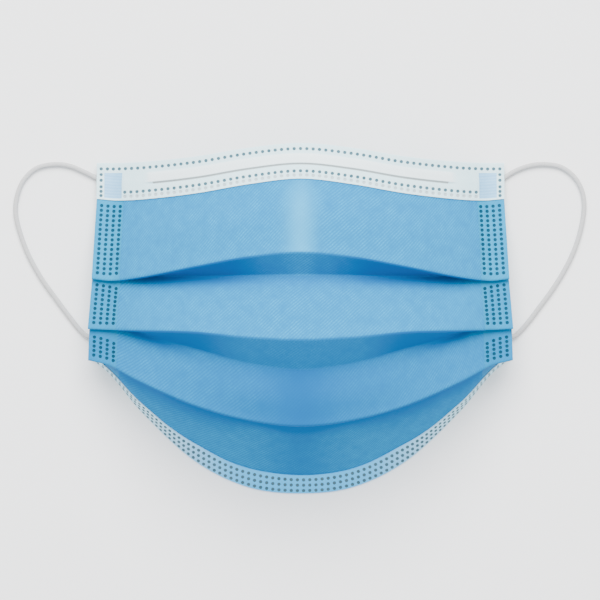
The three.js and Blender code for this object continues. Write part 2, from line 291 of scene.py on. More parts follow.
def round_corner(start, corner, end, cells):
    """Rows of points on the round arc between two straight stretches that are as long as each other."""
    before = unit(corner - start)
    after = unit(end - corner)
    weight = np.sqrt((1 + np.sum(before * after, axis=-1)) / 2)[:, None]
    t = np.linspace(0, 1, cells + 1)[:, None, None]
    parts = (1 - t) ** 2, 2 * t * (1 - t) * weight, t ** 2
    return (parts[0] * start + parts[1] * corner + parts[2] * end) / sum(parts)


def crease(before, at, after, turn, pitch):
    """The two corners of a fold, one layer apart. turn is 1 at a ridge and -1 at a valley."""
    arriving = np.arctan2((at - before)[:, 2], (at - before)[:, 1])
    leaving = np.arctan2((after - at)[:, 2], (after - at)[:, 1])
    bend = ((leaving - arriving) * turn) % (2 * math.pi)
    heading = arriving + turn * bend / 2
    step = np.stack([np.zeros_like(heading), np.cos(heading), np.sin(heading)], axis=-1)
    step *= pitch[:, None] / 2
    return at - step, at + step


def grid_normals(grid):
    """Unit normals of a grid of points, out of the front of the cloth."""
    def directions(axis):
        step = unit(np.diff(grid, axis=axis))
        first = np.take(step, [0], axis=axis)
        last = np.take(step, [-1], axis=axis)
        joined = np.concatenate([first, step, last], axis=axis)
        size = joined.shape[axis]
        return np.take(joined, range(size - 1), axis=axis) + np.take(joined, range(1, size), axis=axis)
    return unit(np.cross(directions(0), directions(1)))


def lengths_along(grid, axis):
    """Distance along the cloth from the start of each row or column."""
    step = np.linalg.norm(np.diff(grid, axis=axis), axis=-1)
    start = np.zeros_like(np.take(step, [0], axis=axis))
    return np.concatenate([start, np.cumsum(step, axis=axis)], axis=axis)


# Surfaces of the sheet

def layer_pitch(u):
    """Pitch of folded layers in a section, wider where the cloth leans along x."""
    step = 0.01
    rise = line("ridge_2", np.abs(u) - step)[:, 2] - line("ridge_2", np.abs(u) + step)[:, 2]
    slope = rise / (2 * step * HALF_WIDTH)
    return FOLD_PITCH * np.sqrt(1 + slope ** 2)


def chin_line(u):
    """The chin edge, moved out so that the thin binding keeps the outline."""
    step = 0.005
    along = unit(line("chin_edge", np.clip(u + step, -1, 1)) - line("chin_edge", np.clip(u - step, -1, 1)))
    outward = np.stack([along[:, 1], -along[:, 0], np.zeros(len(u))], axis=-1)
    return line("chin_edge", u) + CHIN_EDGE_OUT * outward


def chin_panel(u):
    """Top and edge of the last panel, from the last fold to the edge on the floor."""
    edge = chin_line(u)
    _, top = crease(line("ridge_3", u), line("valley_3", u), edge, -1, layer_pitch(u))
    return top, edge


def panel_rise(number, u):
    """How far a stretch bows out at its middle, with slow swells across the mask."""
    kind = STRETCHES[number]
    if kind == "back":
        return np.zeros(len(u))
    swell = sum(
        height * np.sin(2 * math.pi * u * HALF_WIDTH / length + start + number)
        for height, length, start in SWELL
    )
    return (PANEL_BOW[kind] + swell) * (1 - u ** 2)


def chin_cloth(u, heights):
    """The last panel at distances up from its edge. Near the seams it bulges over the strip."""
    top, edge = chin_panel(u)
    rise = panel_rise(STRETCHES.index("chin"), u) + CHIN_BULGE["rise"] * hump(u, *CHIN_BULGE["places"])
    out = bow(1 - heights / np.linalg.norm(edge - top, axis=-1), rise)
    return edge - unit(edge - top) * heights[..., None] + panel_front(top, edge) * out[..., None]


def nose_surface(u, distances):
    """Middle of the nose panel at distances from its folded edge, and its normals."""
    top = line("nose_edge", u)
    grid = top + (line("band_edge", u) - top) * (np.array(distances) / NOSE_PANEL)[:, None, None]
    return grid, grid_normals(grid)


def chin_surface(u, heights):
    """Middle of the chin panel at shares of the binding's height above the edge, and its normals."""
    top, edge = chin_panel(u)
    share = CHIN_STRIP_SHARE
    most = blend(share["middle"], share["seam"], smooth_step(np.abs(u), share["start"], 1))
    tall = CHIN_STRIP_HEIGHT
    height = blend(tall["middle"], tall["outer"], smooth_step(np.abs(u), tall["start"], tall["end"]))
    height = np.minimum(height, most * np.linalg.norm(top - edge, axis=-1))
    grid = chin_cloth(u, np.array(heights)[:, None] * height)
    return grid, -grid_normals(grid)


def sheet_grid(u):
    """Middle of the pleated sheet, and for each kind of stretch the rows it takes."""
    at = {name: line(name, u) for name in LINES}
    at["chin_edge"] = chin_line(u)
    order = ["band_edge", *FOLDS, "chin_edge"]
    pitch = layer_pitch(u)
    folds = []
    for before, name, after in zip(order, FOLDS, order[2:]):
        turn = 1 if name.startswith("ridge") else -1
        folds.append(crease(at[before], at[name], at[after], turn, pitch))
    inside_strip = nose_surface(u, [0, WIRE["start"] + WIRE["width"] + WIRE["gap"]])[0][1]
    rows = [spread(inside_strip, at["band_edge"], CELLS["under_band"])]
    spans = {}
    begin = at["band_edge"]
    count = CELLS["under_band"]
    for k, (a, b) in enumerate(folds):
        kind = STRETCHES[k]
        reach = np.linalg.norm(b - a, axis=-1, keepdims=True) / 2
        end = a - unit(a - begin) * reach
        rows.append(spread(begin, end, CELLS[kind], panel_rise(k, u))[1:])
        spans.setdefault(kind, []).append((count, count + CELLS[kind]))
        after = folds[k + 1][0] if k + 1 < len(folds) else at["chin_edge"]
        begin = b + unit(after - b) * reach
        middle = (a + b) / 2
        rows.append(round_corner(end, a, middle, CELLS["fold"])[1:])
        rows.append(round_corner(middle, b, begin, CELLS["fold"])[1:])
        count += CELLS[kind] + 2 * CELLS["fold"]
    highest = np.linalg.norm(at["chin_edge"] - begin, axis=-1)
    rows.append(chin_cloth(u, np.linspace(highest, CHIN_INSIDE, CELLS["chin"] + 1))[1:])
    spans["chin"] = [(count, count + CELLS["chin"])]
    return np.concatenate(rows), spans


def place_field(grid, starts=(0,)):
    """Where each point lies on the flat cloth, across and along. Each crease starts the distance along anew,
    from a round number, so that the weave runs true on every panel."""
    across = lengths_along(grid, 1)
    middle = grid.shape[1] // 2
    across = across - across[:, middle:middle + 1]
    along = lengths_along(grid, 0)
    for k, start in enumerate(starts[1:], 1):
        along[start:] += k * PANEL_STEP - along[start]
    return np.stack([across, along, np.zeros_like(along)], axis=-1)


# Meshes

class Skin:
    """Points and faces of a piece of cloth with two sides and closed edges."""

    def __init__(self, grid, thickness, fields):
        self.rows, self.columns = grid.shape[:2]
        normals = grid_normals(grid)
        half = np.broadcast_to(thickness, grid.shape[:2])[..., None] / 2
        self.sides = [grid + normals * half, grid - normals * half]
        self.normals = [normals, -normals]
        self.fields = fields
        self.points = [side.reshape(-1, 3) for side in self.sides]
        self.values = {name: [field.reshape(-1, field.shape[-1])] * 2 for name, field in fields.items()}
        self.faces = []
        self.looks = []

    def corner(self, side, i, j):
        return side * self.rows * self.columns + i * self.columns + j

    def add_face(self, side, corners, look):
        self.faces.append(corners if side == 0 else corners[::-1])
        self.looks.append(look)

    def add_side(self, side, looks, dots=None, depth=0.0):
        """Faces of one side. looks has the material of each cell, and dots that of each pit by its middle."""
        dots = dots or {}
        plain = np.ones((self.rows - 1, self.columns - 1), bool)
        for i, j in dots:
            plain[i - 1:i + 1, j - 1:j + 1] = False
        looks = np.broadcast_to(looks, plain.shape)
        for i, j in zip(*np.nonzero(plain)):
            ring = [(i, j), (i + 1, j), (i + 1, j + 1), (i, j + 1)]
            self.add_face(side, [self.corner(side, *place) for place in ring], int(looks[i, j]))
        for (i, j), dot_look in dots.items():
            self.add_pit(side, i, j, int(looks[i, j]), dot_look, depth)

    def pit_axes(self, side, i, j):
        """Half axes of a pit in the middle of four cells, round in the front view where there is room."""
        at = self.sides[side]
        normal = self.normals[side][i, j]
        ring = at[i, j + 1], at[i + 1, j], at[i, j - 1], at[i - 1, j]
        over, down, back, up = [(place - at[i, j])[:2] for place in ring]
        corners = [(a, b, abs(a[0] * b[1] - a[1] * b[0])) for a in (over, back) for b in (down, up)]
        room_over = min(area / np.linalg.norm(b) for _, b, area in corners)
        room_down = min(area / np.linalg.norm(a) for a, _, area in corners)
        along = unit(over)
        beside = np.array([-along[1], along[0]])
        beside = beside * math.copysign(1, np.dot(beside, down))
        axes = []
        for direction, room in ((along, room_over), (beside, room_down)):
            axis = np.append(direction, -np.dot(direction, normal[:2]) / normal[2])
            limit = DOT_RADIUS * min(1, DOT_STRETCH / np.linalg.norm(axis))
            axes.append(axis * min(limit, DOT_ROOM * room))
        return axes

    def add_pit(self, side, i, j, look, dot_look, depth):
        """A pit in the middle of four cells, joined to the eight corners around it."""
        middle = self.sides[side][i, j]
        normal = self.normals[side][i, j]
        over, down = self.pit_axes(side, i, j)
        turn = 2 * math.pi * np.arange(DOT_SIDES)[:, None] / DOT_SIDES
        circle = np.cos(turn) * over + np.sin(turn) * down
        rings = []
        for reach, deep in DOT_PROFILE:
            first = sum(len(block) for block in self.points)
            self.points.append(middle + circle * reach - normal * depth * deep)
            for name, field in self.fields.items():
                self.values[name].append(np.repeat(field[i, j][None], DOT_SIDES, axis=0))
            rings.append([first + k for k in range(DOT_SIDES)])
        around = [(0, 1), (1, 1), (1, 0), (1, -1), (0, -1), (-1, -1), (-1, 0), (-1, 1)]
        border = [self.corner(side, i + rows, j + columns) for rows, columns in around]
        for k in range(len(border)):
            after = (k + 1) % len(border)
            rim = [rings[0][(2 * k + step) % DOT_SIDES] for step in range(3)]
            self.add_face(side, [border[after], border[k], *rim], look)
        for outer, inner in zip(rings, rings[1:]):
            for k in range(DOT_SIDES):
                after = (k + 1) % DOT_SIDES
                self.add_face(side, [outer[after], outer[k], inner[k], inner[after]], dot_look)
        self.add_face(side, rings[-1][::-1], dot_look)

    def close_edges(self):
        """Faces between the two sides, all the way round."""
        rows, columns = self.rows - 1, self.columns - 1
        path = [(0, j) for j in range(columns)] + [(i, columns) for i in range(rows)]
        path += [(rows, j) for j in range(columns, 0, -1)] + [(i, 0) for i in range(rows, 0, -1)]
        for a, b in zip(path, path[1:] + path[:1]):
            ring = [self.corner(0, *a), self.corner(0, *b), self.corner(1, *b), self.corner(1, *a)]
            self.add_face(0, ring, 0)

    def build(self, name, materials):
        fields = {field: np.concatenate(parts) for field, parts in self.values.items()}
        return make_object(name, np.concatenate(self.points), self.faces, self.looks, materials, fields)


def add_object(name, data):
    made = bpy.data.objects.new(name, data)
    bpy.context.scene.collection.objects.link(made)
    return made


def make_object(name, points, faces, looks, materials, fields=None):
    """A smooth shaded object in metres, without the points that no face uses."""
    used = np.unique(np.concatenate([np.array(face) for face in faces]))
    moved = np.zeros(len(points), int)
    moved[used] = np.arange(len(used))
    mesh = bpy.data.meshes.new(name)
    mesh.from_pydata((points[used] * MM).tolist(), [], [moved[np.array(face)].tolist() for face in faces])
    for material in materials:
        mesh.materials.append(material)
    mesh.polygons.foreach_set("material_index", looks or [0] * len(faces))
    mesh.polygons.foreach_set("use_smooth", [True] * len(faces))
    for field, values in (fields or {}).items():
        kind = "FLOAT" if values.shape[1] == 1 else "FLOAT_VECTOR"
        attribute = mesh.attributes.new(field, kind, "POINT")
        attribute.data.foreach_set("value" if kind == "FLOAT" else "vector", values[used].ravel())
    mesh.set_sharp_from_angle(angle=math.radians(SHARP_ANGLE))
    mesh.update()
    return add_object(name, mesh)


def tube(name, rings, material):
    """A tube through rings of points, closed at both ends."""
    count, sides = rings.shape[:2]
    faces = []
    for i in range(count - 1):
        for k in range(sides):
            after = (k + 1) % sides
            faces.append([i * sides + k, (i + 1) * sides + k, (i + 1) * sides + after, i * sides + after])
    faces.append(list(range(sides)))
    faces.append([(count - 1) * sides + k for k in reversed(range(sides))])
    return make_object(name, rings.reshape(-1, 3), faces, None, [material])


def settle(made, node):
    """The piece rides on the body and stands for its CAD node, which is hidden."""
    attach(made, "root")
    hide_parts(node)


# Materials

class Shader:
    """A material's nodes, each made in one call. A value is a number, a colour or another node's output."""

    def __init__(self, name, **settings):
        self.material = bpy.data.materials.new(name)
        self.material.use_nodes = True
        self.tree = self.material.node_tree
        self.surface = self.tree.nodes["Principled BSDF"]
        self.fill(self.surface, settings)

    def plug(self, socket, value):
        if isinstance(value, bpy.types.NodeSocket):
            self.tree.links.new(value, socket)
        else:
            socket.default_value = value

    def fill(self, node, values):
        for key, value in values.items():
            self.plug(node.inputs[key.replace("_", " ") if isinstance(key, str) else key], value)

    def add(self, kind, values=None, **options):
        node = self.tree.nodes.new(kind)
        for key, value in options.items():
            setattr(node, key, value)
        self.fill(node, values or {})
        return node

    def attribute(self, name, output="Vector"):
        return self.add("ShaderNodeAttribute", attribute_name=name).outputs[output]

    def mix(self, factor, a, b):
        node = self.add("ShaderNodeMix", {0: factor}, data_type="RGBA")
        colour_inputs = [socket for socket in node.inputs if socket.type == "RGBA"]
        for socket, value in zip(colour_inputs, (a, b)):
            self.plug(socket, value)
        return next(socket for socket in node.outputs if socket.type == "RGBA")

    def maths(self, operation, *values):
        return self.add("ShaderNodeMath", dict(enumerate(values)), operation=operation).outputs[0]

    def noise(self, place, scale, detail, roughness=0.6):
        values = {"Vector": place, "Scale": scale, "Detail": detail, "Roughness": roughness}
        return self.add("ShaderNodeTexNoise", values).outputs["Fac"]

    def bands(self, place, turn, pitch, distortion):
        """Even bands across a direction that is turned from the first axis of place."""
        values = {"Vector": place, "Rotation": (0, 0, math.radians(turn))}
        turned = self.add("ShaderNodeMapping", values, vector_type="POINT").outputs[0]
        values = {"Vector": turned, "Scale": WAVE_PERIOD / (pitch * MM), "Distortion": distortion}
        values.update({"Detail": 2.0, "Detail Scale": 1.5})
        return self.add("ShaderNodeTexWave", values, wave_type="BANDS", bands_direction="X").outputs["Fac"]

    def cover(self, colour, relief, strength, distance):
        """The material, with its colour and its relief joined to the surface."""
        bump = self.add("ShaderNodeBump", {"Height": relief, "Strength": strength, "Distance": distance * MM})
        self.fill(self.surface, {"Base Color": colour, "Normal": bump.outputs[0]})
        return self.material


def linear(red, green, blue):
    """Colour of a material from the shares of red, green and blue light that it sends back."""
    return red, green, blue, 1.0


def grey(share):
    return linear(share, share, share)


def cloth_material(name, pale, deep, shaded, light, contrast, roughness=0.85):
    """Spunbond cloth: diagonal rows of fine bond marks over loose fibres, with uneven dye. The tone attribute
    is above 0 where the colour goes towards shaded, which on the blue sheet is painted shade in its folds,
    under its lips and on its lower panels, and on the chin strip is the blue that shows through it. Below 0
    it goes towards light, a painted highlight."""
    shader = Shader(name, Roughness=roughness, Specular_IOR_Level=0.08)
    place = shader.attribute("cloth_place")
    tone = shader.attribute("tone", "Fac")
    rows = shader.bands(place, turn=-45, pitch=HATCH_PITCH, distortion=1.8)
    dashes = shader.bands(place, turn=45, pitch=HATCH_DASH, distortion=2.0)
    fibres = shader.noise(place, scale=1500.0, detail=3.0)
    clouds = shader.noise(place, scale=110.0, detail=5.0, roughness=0.65)
    patches = shader.maths("MULTIPLY_ADD", shader.noise(place, scale=260.0, detail=2.0), 2.0, -0.35)
    marks = shader.maths("MULTIPLY", rows, shader.maths("MULTIPLY_ADD", dashes, 0.35, 0.65))
    marks = shader.maths("MULTIPLY", marks, patches)
    grain = shader.maths("MULTIPLY_ADD", marks, contrast, shader.maths("MULTIPLY", clouds, 1 - contrast))
    flat = shader.mix(grain, deep, pale)
    # Painted shade on the blue sheet and the blue showing through the chin strip, then the painted highlight
    deeper = shader.mix(shader.maths("MAXIMUM", tone, 0.0), flat, shaded)
    painted_highlight = shader.maths("MAXIMUM", shader.maths("MULTIPLY", tone, -1.0), 0.0)
    colour = shader.mix(painted_highlight, deeper, light)
    relief = shader.maths("MULTIPLY_ADD", fibres, 0.4, marks)
    return shader.cover(colour, relief, strength=0.7, distance=0.045)


def weld_material(name, dark, light, roughness):
    """Cloth melted to a film at a weld point."""
    shader = Shader(name, Roughness=roughness, Specular_IOR_Level=0.12)
    clouds = shader.noise(shader.attribute("cloth_place"), scale=900.0, detail=2.0)
    return shader.cover(shader.mix(clouds, dark, light), clouds, strength=0.3, distance=0.04)


def patch_material(name, dark, light):
    """The pressed patch over a loop's end, with fine ribs."""
    shader = Shader(name, Roughness=0.5)
    place = shader.attribute("cloth_place")
    ribs = shader.bands(place, turn=90, pitch=1.05, distortion=0.4)
    clouds = shader.noise(place, scale=700.0, detail=3.0)
    colour = shader.mix(shader.maths("MULTIPLY", ribs, clouds), dark, light)
    return shader.cover(colour, ribs, strength=0.5, distance=0.08)


def plain_material(name, dark, light, scale, roughness, height):
    """A surface with fine grain."""
    shader = Shader(name, Roughness=roughness)
    grain = shader.noise(shader.add("ShaderNodeTexCoord").outputs["Object"], scale=scale, detail=3.0)
    return shader.cover(shader.mix(grain, dark, light), grain, strength=0.5, distance=height)


# The shaded colours of the blue cloths are painted shade and their light colours a painted highlight. WHITE's
# shaded colour is the blue showing through the chin strip, and its light colour the painted highlight over
# the nose wire.
BLUE = cloth_material(
    "blue_nonwoven", pale=linear(0, 0.31, 0.60), deep=linear(0, 0.15, 0.37), shaded=linear(0, 0.10, 0.31),
    light=linear(0.05, 0.42, 0.72), contrast=0.75,
)
BLUE_MARGIN = cloth_material(
    "blue_pressed", pale=linear(0, 0.31, 0.54), deep=linear(0, 0.18, 0.38), shaded=linear(0, 0.10, 0.32),
    light=linear(0.05, 0.3, 0.5), contrast=0.4, roughness=0.6,
)
WHITE = cloth_material(
    "white_nonwoven", pale=linear(0.70, 0.90, 0.94), deep=linear(0.52, 0.78, 0.86),
    shaded=linear(0.01, 0.44, 0.90), light=grey(0.95), contrast=0.45,
)
BLUE_WELD = weld_material("blue_weld", linear(0, 0.03, 0.06), linear(0, 0.06, 0.11), 0.6)
WHITE_WELD = weld_material("white_weld", linear(0.03, 0.09, 0.12), linear(0.08, 0.16, 0.20), 0.6)
# Painted shadow line under the nose wire's lower edge, made with the weld material's nodes
WIRE_SHADOW_LINE = weld_material("painted_wire_shadow", linear(0.30, 0.35, 0.36), linear(0.38, 0.43, 0.44), 0.8)
FAINT_WELD = weld_material("faint_weld", linear(0.34, 0.44, 0.48), linear(0.46, 0.56, 0.60), 0.5)
INNER_WELD = weld_material("inner_weld", linear(0.40, 0.55, 0.62), linear(0.55, 0.68, 0.75), 0.5)
PATCH_LOOK = patch_material("weld_patch", linear(0.20, 0.48, 0.76), linear(0.30, 0.60, 0.86))
ELASTIC = plain_material("loop_elastic", grey(0.36), grey(0.58), scale=1800.0, roughness=0.85, height=0.1)
PLASTIC = plain_material("wire_plastic", grey(0.75), grey(0.90), scale=700.0, roughness=0.4, height=0.03)


# Ear loops

def full_route(places, side):
    """Route of a side's loop: along its places on the floor, and up to the chin strip."""
    flat = [(x, y, LOOP_DIAMETER / 2) for x, y in places]
    return np.array(flat + ROUTE_END) * (side, 1, 1)


def smooth_route(points):
    """Points every ROUTE_STEP on the centripetal curve through a route."""
    ends = [2 * points[0] - points[1]], points, [2 * points[-1] - points[-2]]
    padded = np.concatenate(ends)
    pieces = []
    for p0, p1, p2, p3 in zip(padded, padded[1:], padded[2:], padded[3:]):
        steps = [math.sqrt(np.linalg.norm(b - a)) for a, b in ((p0, p1), (p1, p2), (p2, p3))]
        knots = np.cumsum([0] + steps)
        count = max(2, round(np.linalg.norm(p2 - p1) / ROUTE_STEP))
        t = np.linspace(knots[1], knots[2], count, endpoint=False)[:, None]

        def between(a, b, first, last):
            return ((last - t) * a + (t - first) * b) / (last - first)
        a1 = between(p0, p1, knots[0], knots[1])
        a2 = between(p1, p2, knots[1], knots[2])
        a3 = between(p2, p3, knots[2], knots[3])
        b1 = between(a1, a2, knots[0], knots[2])
        b2 = between(a2, a3, knots[1], knots[3])
        pieces.append(between(b1, b2, knots[1], knots[2]))
    return np.concatenate([*pieces, points[-1:]])


def sections(path, up):
    """Sideways and upward directions across a path, from one that is roughly up."""
    tangent = unit(np.gradient(path, axis=0))
    side = unit(np.cross(tangent, up))
    return side, np.cross(side, tangent)


def ear_loop(name, node, route):
    """Round knitted elastic, with its rows of stitches as relief."""
    path = smooth_route(route)
    side, up = sections(path, np.array([0.0, 0.0, 1.0]))
    along = lengths_along(path[:, None], 0)[:, 0]
    turn = 2 * math.pi * np.arange(KNIT["sides"]) / KNIT["sides"]
    wale = np.abs(np.sin(2 * turn))[None]
    stitch = np.cos(2 * math.pi * along[:, None] / KNIT["pitch"] + 2 * wale)
    radius = LOOP_DIAMETER / 2 - KNIT["depth"] * (1 - wale * (0.5 + 0.5 * stitch))
    ring = np.cos(turn)[None, :, None] * side[:, None] + np.sin(turn)[None, :, None] * up[:, None]
    made = tube(name, path[:, None] + ring * radius[..., None], ELASTIC)
    settle(made, node)


# The pleated sheet

def margin_lines():
    """Places across the sheet, as shares, with the columns of dots in both margins."""
    cell = DOT_PITCH / 2
    lines = [HALF_WIDTH - MARGIN_EDGE - cell * k for k in range(2 * MARGIN_COLUMNS + 1)]
    rest = lines[-1] - MARGIN_STEP
    lines += [HALF_WIDTH, rest]
    middle = np.linspace(-rest, rest, round(2 * rest / cell) + 1)[1:-1]
    x = np.array(sorted([-place for place in lines] + list(middle) + lines))
    left = [2 + 2 * k for k in range(MARGIN_COLUMNS)]
    right = [len(x) - 1 - j for j in left]
    return x / HALF_WIDTH, left + right


def sheet_tone(grid, spans, u):
    """How far painted shade deepens the blue, by place: in the backs of the folds, as painted shadow under
    the lips, and at the middle of the lower panels. The pale streak down the upper panel and the first back
    is a painted highlight. A panel has its own tone, what its fold adds at the top as painted shadow, and how
    far down that reaches."""
    along = lengths_along(grid, 0)
    away = np.abs(u)
    painted_streak = PAINTED_STREAK["pale"] * np.exp(-(u / PAINTED_STREAK["width"]) ** 2)
    shade_spot = np.exp(-(u / SHADE_SPOT_WIDTH) ** 2)
    middle = np.exp(-(u / SHADE_MIDDLE_WIDTH) ** 4)
    margin = smooth_step(away, MARGIN_TONE["start"], MARGIN_TONE["end"])
    # Painted shade by panel: its own tone, deeper at the middle of the third and chin panels, then the
    # painted shadow of the lip above it at its top
    panels = {
        "second": (0.2 * margin, 0.5 + 0.5 * smooth_step(away, 0.1, 0.4), 3.8),
        "third": (
            0.26 + 0.28 * middle + 0.36 * shade_spot + 0.15 * margin, 0.75 * smooth_step(away, 0.45, 0.7), 2.2,
        ),
        "chin": (0.12 + 0.5 * shade_spot, 0.9, 4.5 + 4.5 * smooth_step(away, 0.15, 0.55)),
    }
    # Painted shade in the backs of the folds, paled at the middle of the first back by the painted highlight
    returns = [
        0.55 + 0.45 * hump(u, 0.12, 0.35, 0.8, 1.0) - 0.8 * painted_streak,
        0.52 + 0.46 * hump(u, 0.25, 0.5, 0.8, 1.0),
        0.90,
    ]
    tone = np.zeros(grid.shape[:2])
    for name, (own, top, reach) in panels.items():
        first, last = spans[name][0]
        depth = along[first:last + 1] - along[first]
        tone[first:last + 1] = own + top * np.exp(-(depth / reach) ** 2)
    first, last = spans["upper"][0]
    share = np.linspace(0, 1, last - first + 1)[:, None]
    # The painted highlight down the middle of the upper panel
    tone[first:last + 1] -= painted_streak * smooth_step(share, -0.5, 0.6)
    fold = CELLS["fold"]
    share = np.linspace(0, 1, 2 * fold + 1)[:, None]
    for (first, last), deep in zip(spans["back"], returns):
        tone[first - fold:last + 1] = deep
        tone[first - 2 * fold:first - fold] = tone[first - 2 * fold]
        tone[last:last + 2 * fold + 1] = blend(deep, tone[last + 2 * fold], share)
    return np.clip(tone, -1, 1)


def margin_dots(rows, spans, columns, look):
    """Dots by row and column, from the rows counted on each panel."""
    placed = [spans[name][0][0] + k for name, counted in rows.items() for k in counted]
    return {(i, j): look for i in placed for j in columns}


def mask_sheet():
    """The pleated sheet, blue in front and white behind, with its welded side margins."""
    blue, white, dot, inner_dot, blue_margin = range(5)
    u, columns = margin_lines()
    grid, spans = sheet_grid(u)
    margin = np.abs(u) * HALF_WIDTH > HALF_WIDTH - MARGIN_EDGE - MARGIN_COLUMNS * DOT_PITCH - NEAR
    thickness = SHEET - MARGIN_PRESS * np.broadcast_to(margin, grid.shape[:2])
    thickness[:CELLS["under_band"]] = UNDER_STRIP
    creases = sorted(start for parts in spans.values() for start, _ in parts)
    # tone carries the sheet's painted shade and painted highlight
    fields = {"cloth_place": place_field(grid, creases) * MM, "tone": sheet_tone(grid, spans, u)[..., None]}
    skin = Skin(grid, thickness, fields)
    looks = np.full((len(grid) - 1, len(u) - 1), blue)
    looks[:, cells_of(margin)] = blue_margin
    skin.add_side(0, looks, margin_dots(FRONT_ROWS, spans, columns, dot), DOT_DEPTH["sheet"])
    skin.add_side(1, white, margin_dots(BACK_ROWS, spans, columns, inner_dot), DOT_DEPTH["sheet"])
    skin.close_edges()
    made = skin.build("pleated_sheet", [BLUE, WHITE, BLUE_WELD, INNER_WELD, BLUE_MARGIN])
    settle(made, "mask_body")
    return made


# Strips and nose wire

def wire_reach(x):
    """1 over the wire and 0 past its ends."""
    return 1 - smooth_step(np.abs(x), WIRE["reach"] + WIRE_END["close"], WIRE["reach"] + WIRE_END["far"])


def leg_offset(distance, x):
    """Distance of a leg's middle from the nose panel's: close at the edge, round the wire, down in the gap
    below it, and over the sheet."""
    over_sheet = SHEET / 2 + STRIP / 2 + SLACK
    over_wire = WIRE["thickness"] / 2 + STRIP / 2 + SLACK
    pinched = STRIP / 2 + SLACK
    start, end = WIRE["start"], WIRE["start"] + WIRE["width"]
    foot = start - WIRE_FLANK["before"]
    rise = smooth_step(distance, foot, foot + WIRE_FLANK["rise"])
    fall = 1 - smooth_step(distance, end, end + WIRE_FLANK["fall"])
    reach = wire_reach(x)
    beside_wire = smooth_step(distance, start, end)
    below_wire = smooth_step(distance, end + WIRE_FLANK["fall"] + WIRE_FLANK["floor"], end + WIRE["gap"])
    level = blend(pinched, over_sheet, blend(beside_wire, below_wire, reach))
    level = level + STRIP_LIFT["height"] * smooth_step(distance, STRIP_LIFT["start"], STRIP_LIFT["end"])
    return blend(level, over_wire, rise * fall * reach)


def fold_round(grid, normals, offset):
    """Rows of points down the front leg of a strip, round its folded edge and up its back leg, with the row
    of each grid line on the two legs. The grid's first row is the fold."""
    along = unit(grid[1] - grid[0])
    radius = np.broadcast_to(offset, (*grid.shape[:2], 1))[0]
    turn = np.linspace(0, math.pi, CELLS["strip_fold"] + 1)[1:-1, None, None]
    bend = grid[0] + radius * (np.cos(turn) * normals[0] - np.sin(turn) * along)
    rows = np.concatenate([(grid + normals * offset)[::-1], bend, grid - normals * offset])
    front = [len(grid) - 1 - k for k in range(len(grid))]
    back = [len(grid) + len(bend) + k for k in range(len(grid))]
    return rows, front, back


def dotted_lines(reach, pitch):
    """Even places from -reach to reach with room for whole dots, and the places of the dots."""
    count = round(2 * reach / pitch)
    places = np.linspace(-reach, reach, 2 * count + 1)
    return places, places[1::2]


def top_columns():
    """Places across the nose strip, the places of its dots, and the two sides of the patch."""
    even, dots = dotted_lines(NOSE_HALF_WIDTH - STRIP_EDGE, TOP_DOT_PITCH)
    outer, inner = (abs(even[2 * PATCH[name]]) for name in ("near", "far"))
    sides = [outer, outer - PATCH["step"], inner + PATCH["step"], inner]
    places = [-NOSE_HALF_WIDTH, NOSE_HALF_WIDTH, *even, *sides, *(-side for side in sides)]
    return np.unique(np.round(places, 4)), dots, outer, inner


def top_dots(x, dots, inner, dot, faint_dot):
    """Dots of the nose strip by line and column: three rows along it, of which two stop at the patches, and a
    column at each end."""
    long_row = nearest(x, dots)
    short_row = [j for j in long_row if abs(x[j]) < inner]
    first, second, third = nearest(TOP_LINES, TOP_ROWS)
    found = {(first, j): dot for j in long_row}
    found.update({(second, j): dot for j in short_row})
    found.update({(third, j): faint_dot for j in short_row})
    for k in nearest(TOP_LINES, TOP_END_ROWS):
        found.update({(k, long_row[0]): dot, (k, long_row[-1]): dot})
    return found


def top_binding():
    """The white strip folded over the nose edge and the nose wire."""
    white, dot, patch, faint_dot, wire_shadow_look = range(5)
    x, dots, outer, inner = top_columns()
    away = np.abs(x)
    down = np.array(TOP_LINES)
    patch_lines = within(down, PATCH["top"], PATCH["bottom"])
    pressed = patch_lines[:, None] & within(away, inner + PATCH["step"], outer - PATCH["step"])
    offset = np.maximum(leg_offset(down[:, None], x) - PATCH["depth"] * pressed, STRIP / 2 + SLACK)
    rows, front, back = fold_round(*nose_surface(x / NOSE_HALF_WIDTH, down), offset[..., None])

    looks = np.full((len(rows) - 1, len(x) - 1), white)
    patch_columns = cells_of(within(away, inner, outer))
    for k in np.nonzero(cells_of(patch_lines))[0]:
        looks[front[k] - 1, patch_columns] = patch
        looks[back[k], patch_columns] = patch
    wire_end = WIRE["start"] + WIRE["width"]
    # The floor of the groove below the wire gets the painted shadow line
    groove = within(down, wire_end, wire_end + WIRE_FLANK["crease"])
    along_wire = away < WIRE["reach"] + WIRE_END["close"]
    for k in np.nonzero(cells_of(groove))[0]:
        looks[front[k] - 1, cells_of(along_wire)] = wire_shadow_look

    # Painted highlight on the strip over the wire, given as a negative tone
    fade = WIRE_HIGHLIGHT["fade"]
    foot = WIRE["start"] - WIRE_FLANK["before"]
    over_wire = hump(down, foot, WIRE["start"], wire_end - fade, wire_end + fade)
    tone = np.zeros(rows.shape[:2])
    tone[front] = tone[back] = -WIRE_HIGHLIGHT["pale"] * over_wire[:, None] * wire_reach(x)
    skin = Skin(rows, STRIP, {"cloth_place": place_field(rows) * MM, "tone": tone[..., None]})
    found = top_dots(x, dots, inner, dot, faint_dot)
    both_legs = {(leg[k], j): look for leg in (front, back) for (k, j), look in found.items()}
    skin.add_side(1, looks, both_legs, DOT_DEPTH["strip"])
    skin.add_side(0, white)
    skin.close_edges()
    made = skin.build("nose_strip", [WHITE, WHITE_WELD, PATCH_LOOK, FAINT_WELD, WIRE_SHADOW_LINE])
    settle(made, "top_binding")
    return made


